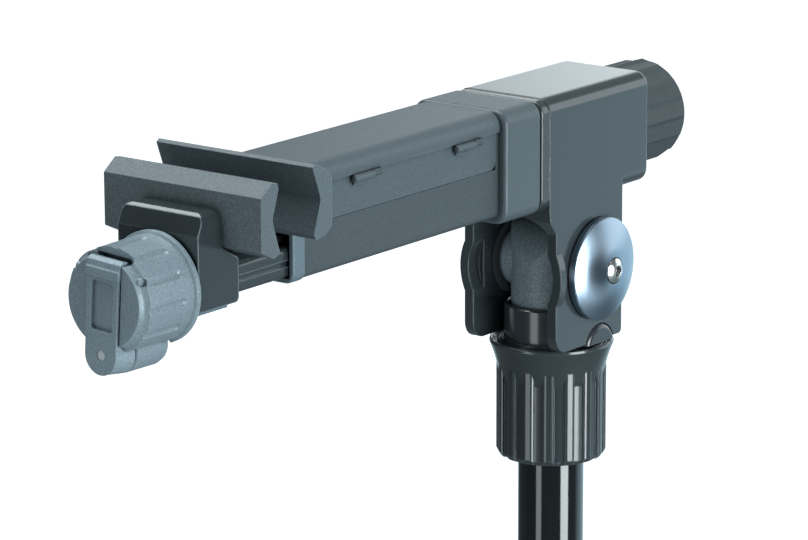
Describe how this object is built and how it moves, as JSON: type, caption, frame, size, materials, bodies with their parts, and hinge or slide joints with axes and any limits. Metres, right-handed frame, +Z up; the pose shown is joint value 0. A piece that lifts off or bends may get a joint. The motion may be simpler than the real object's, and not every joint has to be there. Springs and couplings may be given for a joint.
{
  "type": "bicycle repair stand",
  "caption": "Folding bicycle repair stand: square clamp arm with screw-driven jaws on a folding pivot head, telescoping mast and folding tripod legs.",
  "frame": {"origin": "on the floor, under the centre of the mast", "axes": "+Z up along the mast; the clamp arm reaches toward -X; the compartment door faces -Y"},
  "size_m": [0.8206, 0.8116, 1.3542],
  "materials": {
    "paint_black": "satin gloss enamel",
    "slate_shell": "fine grained satin",
    "dark_shell": "fine grained matt",
    "cap_grey": "satin",
    "knob_grey": "metallic satin",
    "jaw_rubber": "fine grained",
    "dome_chrome": "dark polished",
    "bolt_steel": "bright",
    "tube_black": "polished black",
    "collar_plastic": "gloss",
    "head_plastic": "grained",
    "bush_plastic": "satin",
    "foot_rubber": "matt",
    "cast_black": "textured",
    "lever_grey": "satin"
  },
  "bodies": {
    "base": {"lower_mast": "tube_black", "mast_foot": "foot_rubber", "height_clamp": "cast_black", "clamp_bolt": "bolt_steel", "clamp_nut": "bolt_steel", "leg_hub": "cast_black", "leg_pins": "bolt_steel"},
    "mast": {"upper_mast": "tube_black", "guide_bush": "bush_plastic", "mast_head": "head_plastic", "friction_washer_near": "bush_plastic", "friction_washer_far": "bush_plastic", "collar_sleeve": "head_plastic"},
    "ring": {"lock_ring": "collar_plastic"},
    "collar": {"locking_collar": "collar_plastic"},
    "head": {"head_housing": "paint_black", "spindle_bush_front": "bush_plastic", "spindle_bush_rear": "bush_plastic", "dome_plate_near": "paint_black", "dome_plate_far": "paint_black", "pivot_dome_near": "dome_chrome", "pivot_dome_far": "dome_chrome", "pivot_bolt": "bolt_steel", "pivot_nut": "bolt_steel", "rear_washer": "bolt_steel", "notch_saddle_near": "collar_plastic", "notch_saddle_far": "collar_plastic"},
    "arm": {"arm_collar": "slate_shell", "friction_ring": "dark_shell", "arm_spindle": "bolt_steel", "arm_body": "dark_shell", "arm_cover": "slate_shell", "door_hinge_pins": "dark_shell", "arm_end_cap": "cap_grey", "screw_nut": "bush_plastic", "rear_jaw": "jaw_rubber"},
    "door": {"compartment_door": "slate_shell"},
    "carriage": {"jaw_carriage": "paint_black", "front_jaw": "jaw_rubber", "slide_rails": "tube_black", "carriage_plate": "cap_grey"},
    "knob": {"jaw_knob": "knob_grey", "crank_hinge_pin": "bolt_steel", "lead_screw": "bolt_steel"},
    "crank": {"crank_lever": "knob_grey", "grip_rivet": "bolt_steel"},
    "grip": {"crank_grip": "knob_grey"},
    "rear_knob": {"rear_lock_knob": "head_plastic", "rear_stud": "bolt_steel"},
    "lever": {"clamp_lever": "lever_grey"},
    "leg_a": {"leg_knuckle_a": "cast_black", "leg_tube_a": "tube_black", "leg_boot_a": "foot_rubber"},
    "leg_b": {"leg_knuckle_b": "cast_black", "leg_tube_b": "tube_black", "leg_boot_b": "foot_rubber"},
    "leg_c": {"leg_knuckle_c": "cast_black", "leg_tube_c": "tube_black", "leg_boot_c": "foot_rubber"}
  },
  "joints": [
    {"name": "mast_height", "type": "slide", "parent": "base", "child": "mast", "axis": [0, 0, 1], "range_m": [-0.23, 0.14]},
    {"name": "head_fold", "type": "hinge", "parent": "mast", "child": "head", "pos_m": [0, 0, 1.25], "axis": [0, -1, 0], "range_deg": [0, 88]},
    {"name": "collar_drop", "type": "slide", "parent": "mast", "child": "ring", "axis": [0, 0, -1], "range_m": [0, 0.0291]},
    {"name": "collar_twist", "type": "hinge", "parent": "ring", "child": "collar", "pos_m": [0, 0, 1.17], "axis": [0, 0, -1], "range_deg": [0, 721]},
    {"name": "arm_turn", "type": "hinge", "parent": "head", "child": "arm", "pos_m": [-0.05, 0, 1.31725], "axis": [1, 0, 0], "continuous": true},
    {"name": "rear_knob_turn", "type": "hinge", "parent": "head", "child": "rear_knob", "pos_m": [0.06, 0, 1.31725], "axis": [1, 0, 0], "range_deg": [-30, 360]},
    {"name": "door_swing", "type": "hinge", "parent": "arm", "child": "door", "pos_m": [-0.16, -0.0266, 1.3341], "axis": [-1, 0, 0], "range_deg": [0, 100]},
    {"name": "jaw_open", "type": "slide", "parent": "arm", "child": "carriage", "axis": [-1, 0, 0], "range_m": [-0.024, 0.04]},
    {"name": "knob_turn", "type": "hinge", "parent": "carriage", "child": "knob", "pos_m": [-0.33, 0, 1.3005], "axis": [-1, 0, 0], "range_deg": [-1729, 2881]},
    {"name": "crank_flip", "type": "hinge", "parent": "knob", "child": "crank", "pos_m": [-0.3496, -0.00084, 1.31347], "axis": [0, 0.9979, 0.0645], "range_deg": [0, 160]},
    {"name": "grip_spin", "type": "hinge", "parent": "crank", "child": "grip", "pos_m": [-0.33, 0.00164, 1.2751], "axis": [1, 0, 0], "continuous": true},
    {"name": "clamp_lever_swing", "type": "hinge", "parent": "base", "child": "lever", "pos_m": [0.036, -0.0235, 0.857], "axis": [0, 0, 1], "range_deg": [0, 150]},
    {"name": "leg_fold_a", "type": "hinge", "parent": "base", "child": "leg_a", "pos_m": [0.046, 0, 0.28], "axis": [0, -1, 0], "range_deg": [0, 122]},
    {"name": "leg_fold_b", "type": "hinge", "parent": "base", "child": "leg_b", "pos_m": [-0.023, 0.03984, 0.28], "axis": [0.866, 0.5, 0], "range_deg": [0, 122]},
    {"name": "leg_fold_c", "type": "hinge", "parent": "base", "child": "leg_c", "pos_m": [-0.023, -0.03984, 0.28], "axis": [-0.866, 0.5, 0], "range_deg": [0, 122]}
  ],
  "couplings": [
    {"joint": "collar_drop", "follows": "head_fold", "m_per_rad": 0.018462},
    {"joint": "collar_twist", "follows": "head_fold", "ratio": 8},
    {"joint": "knob_turn", "follows": "jaw_open", "rad_per_m": 1256.6}
  ]
}
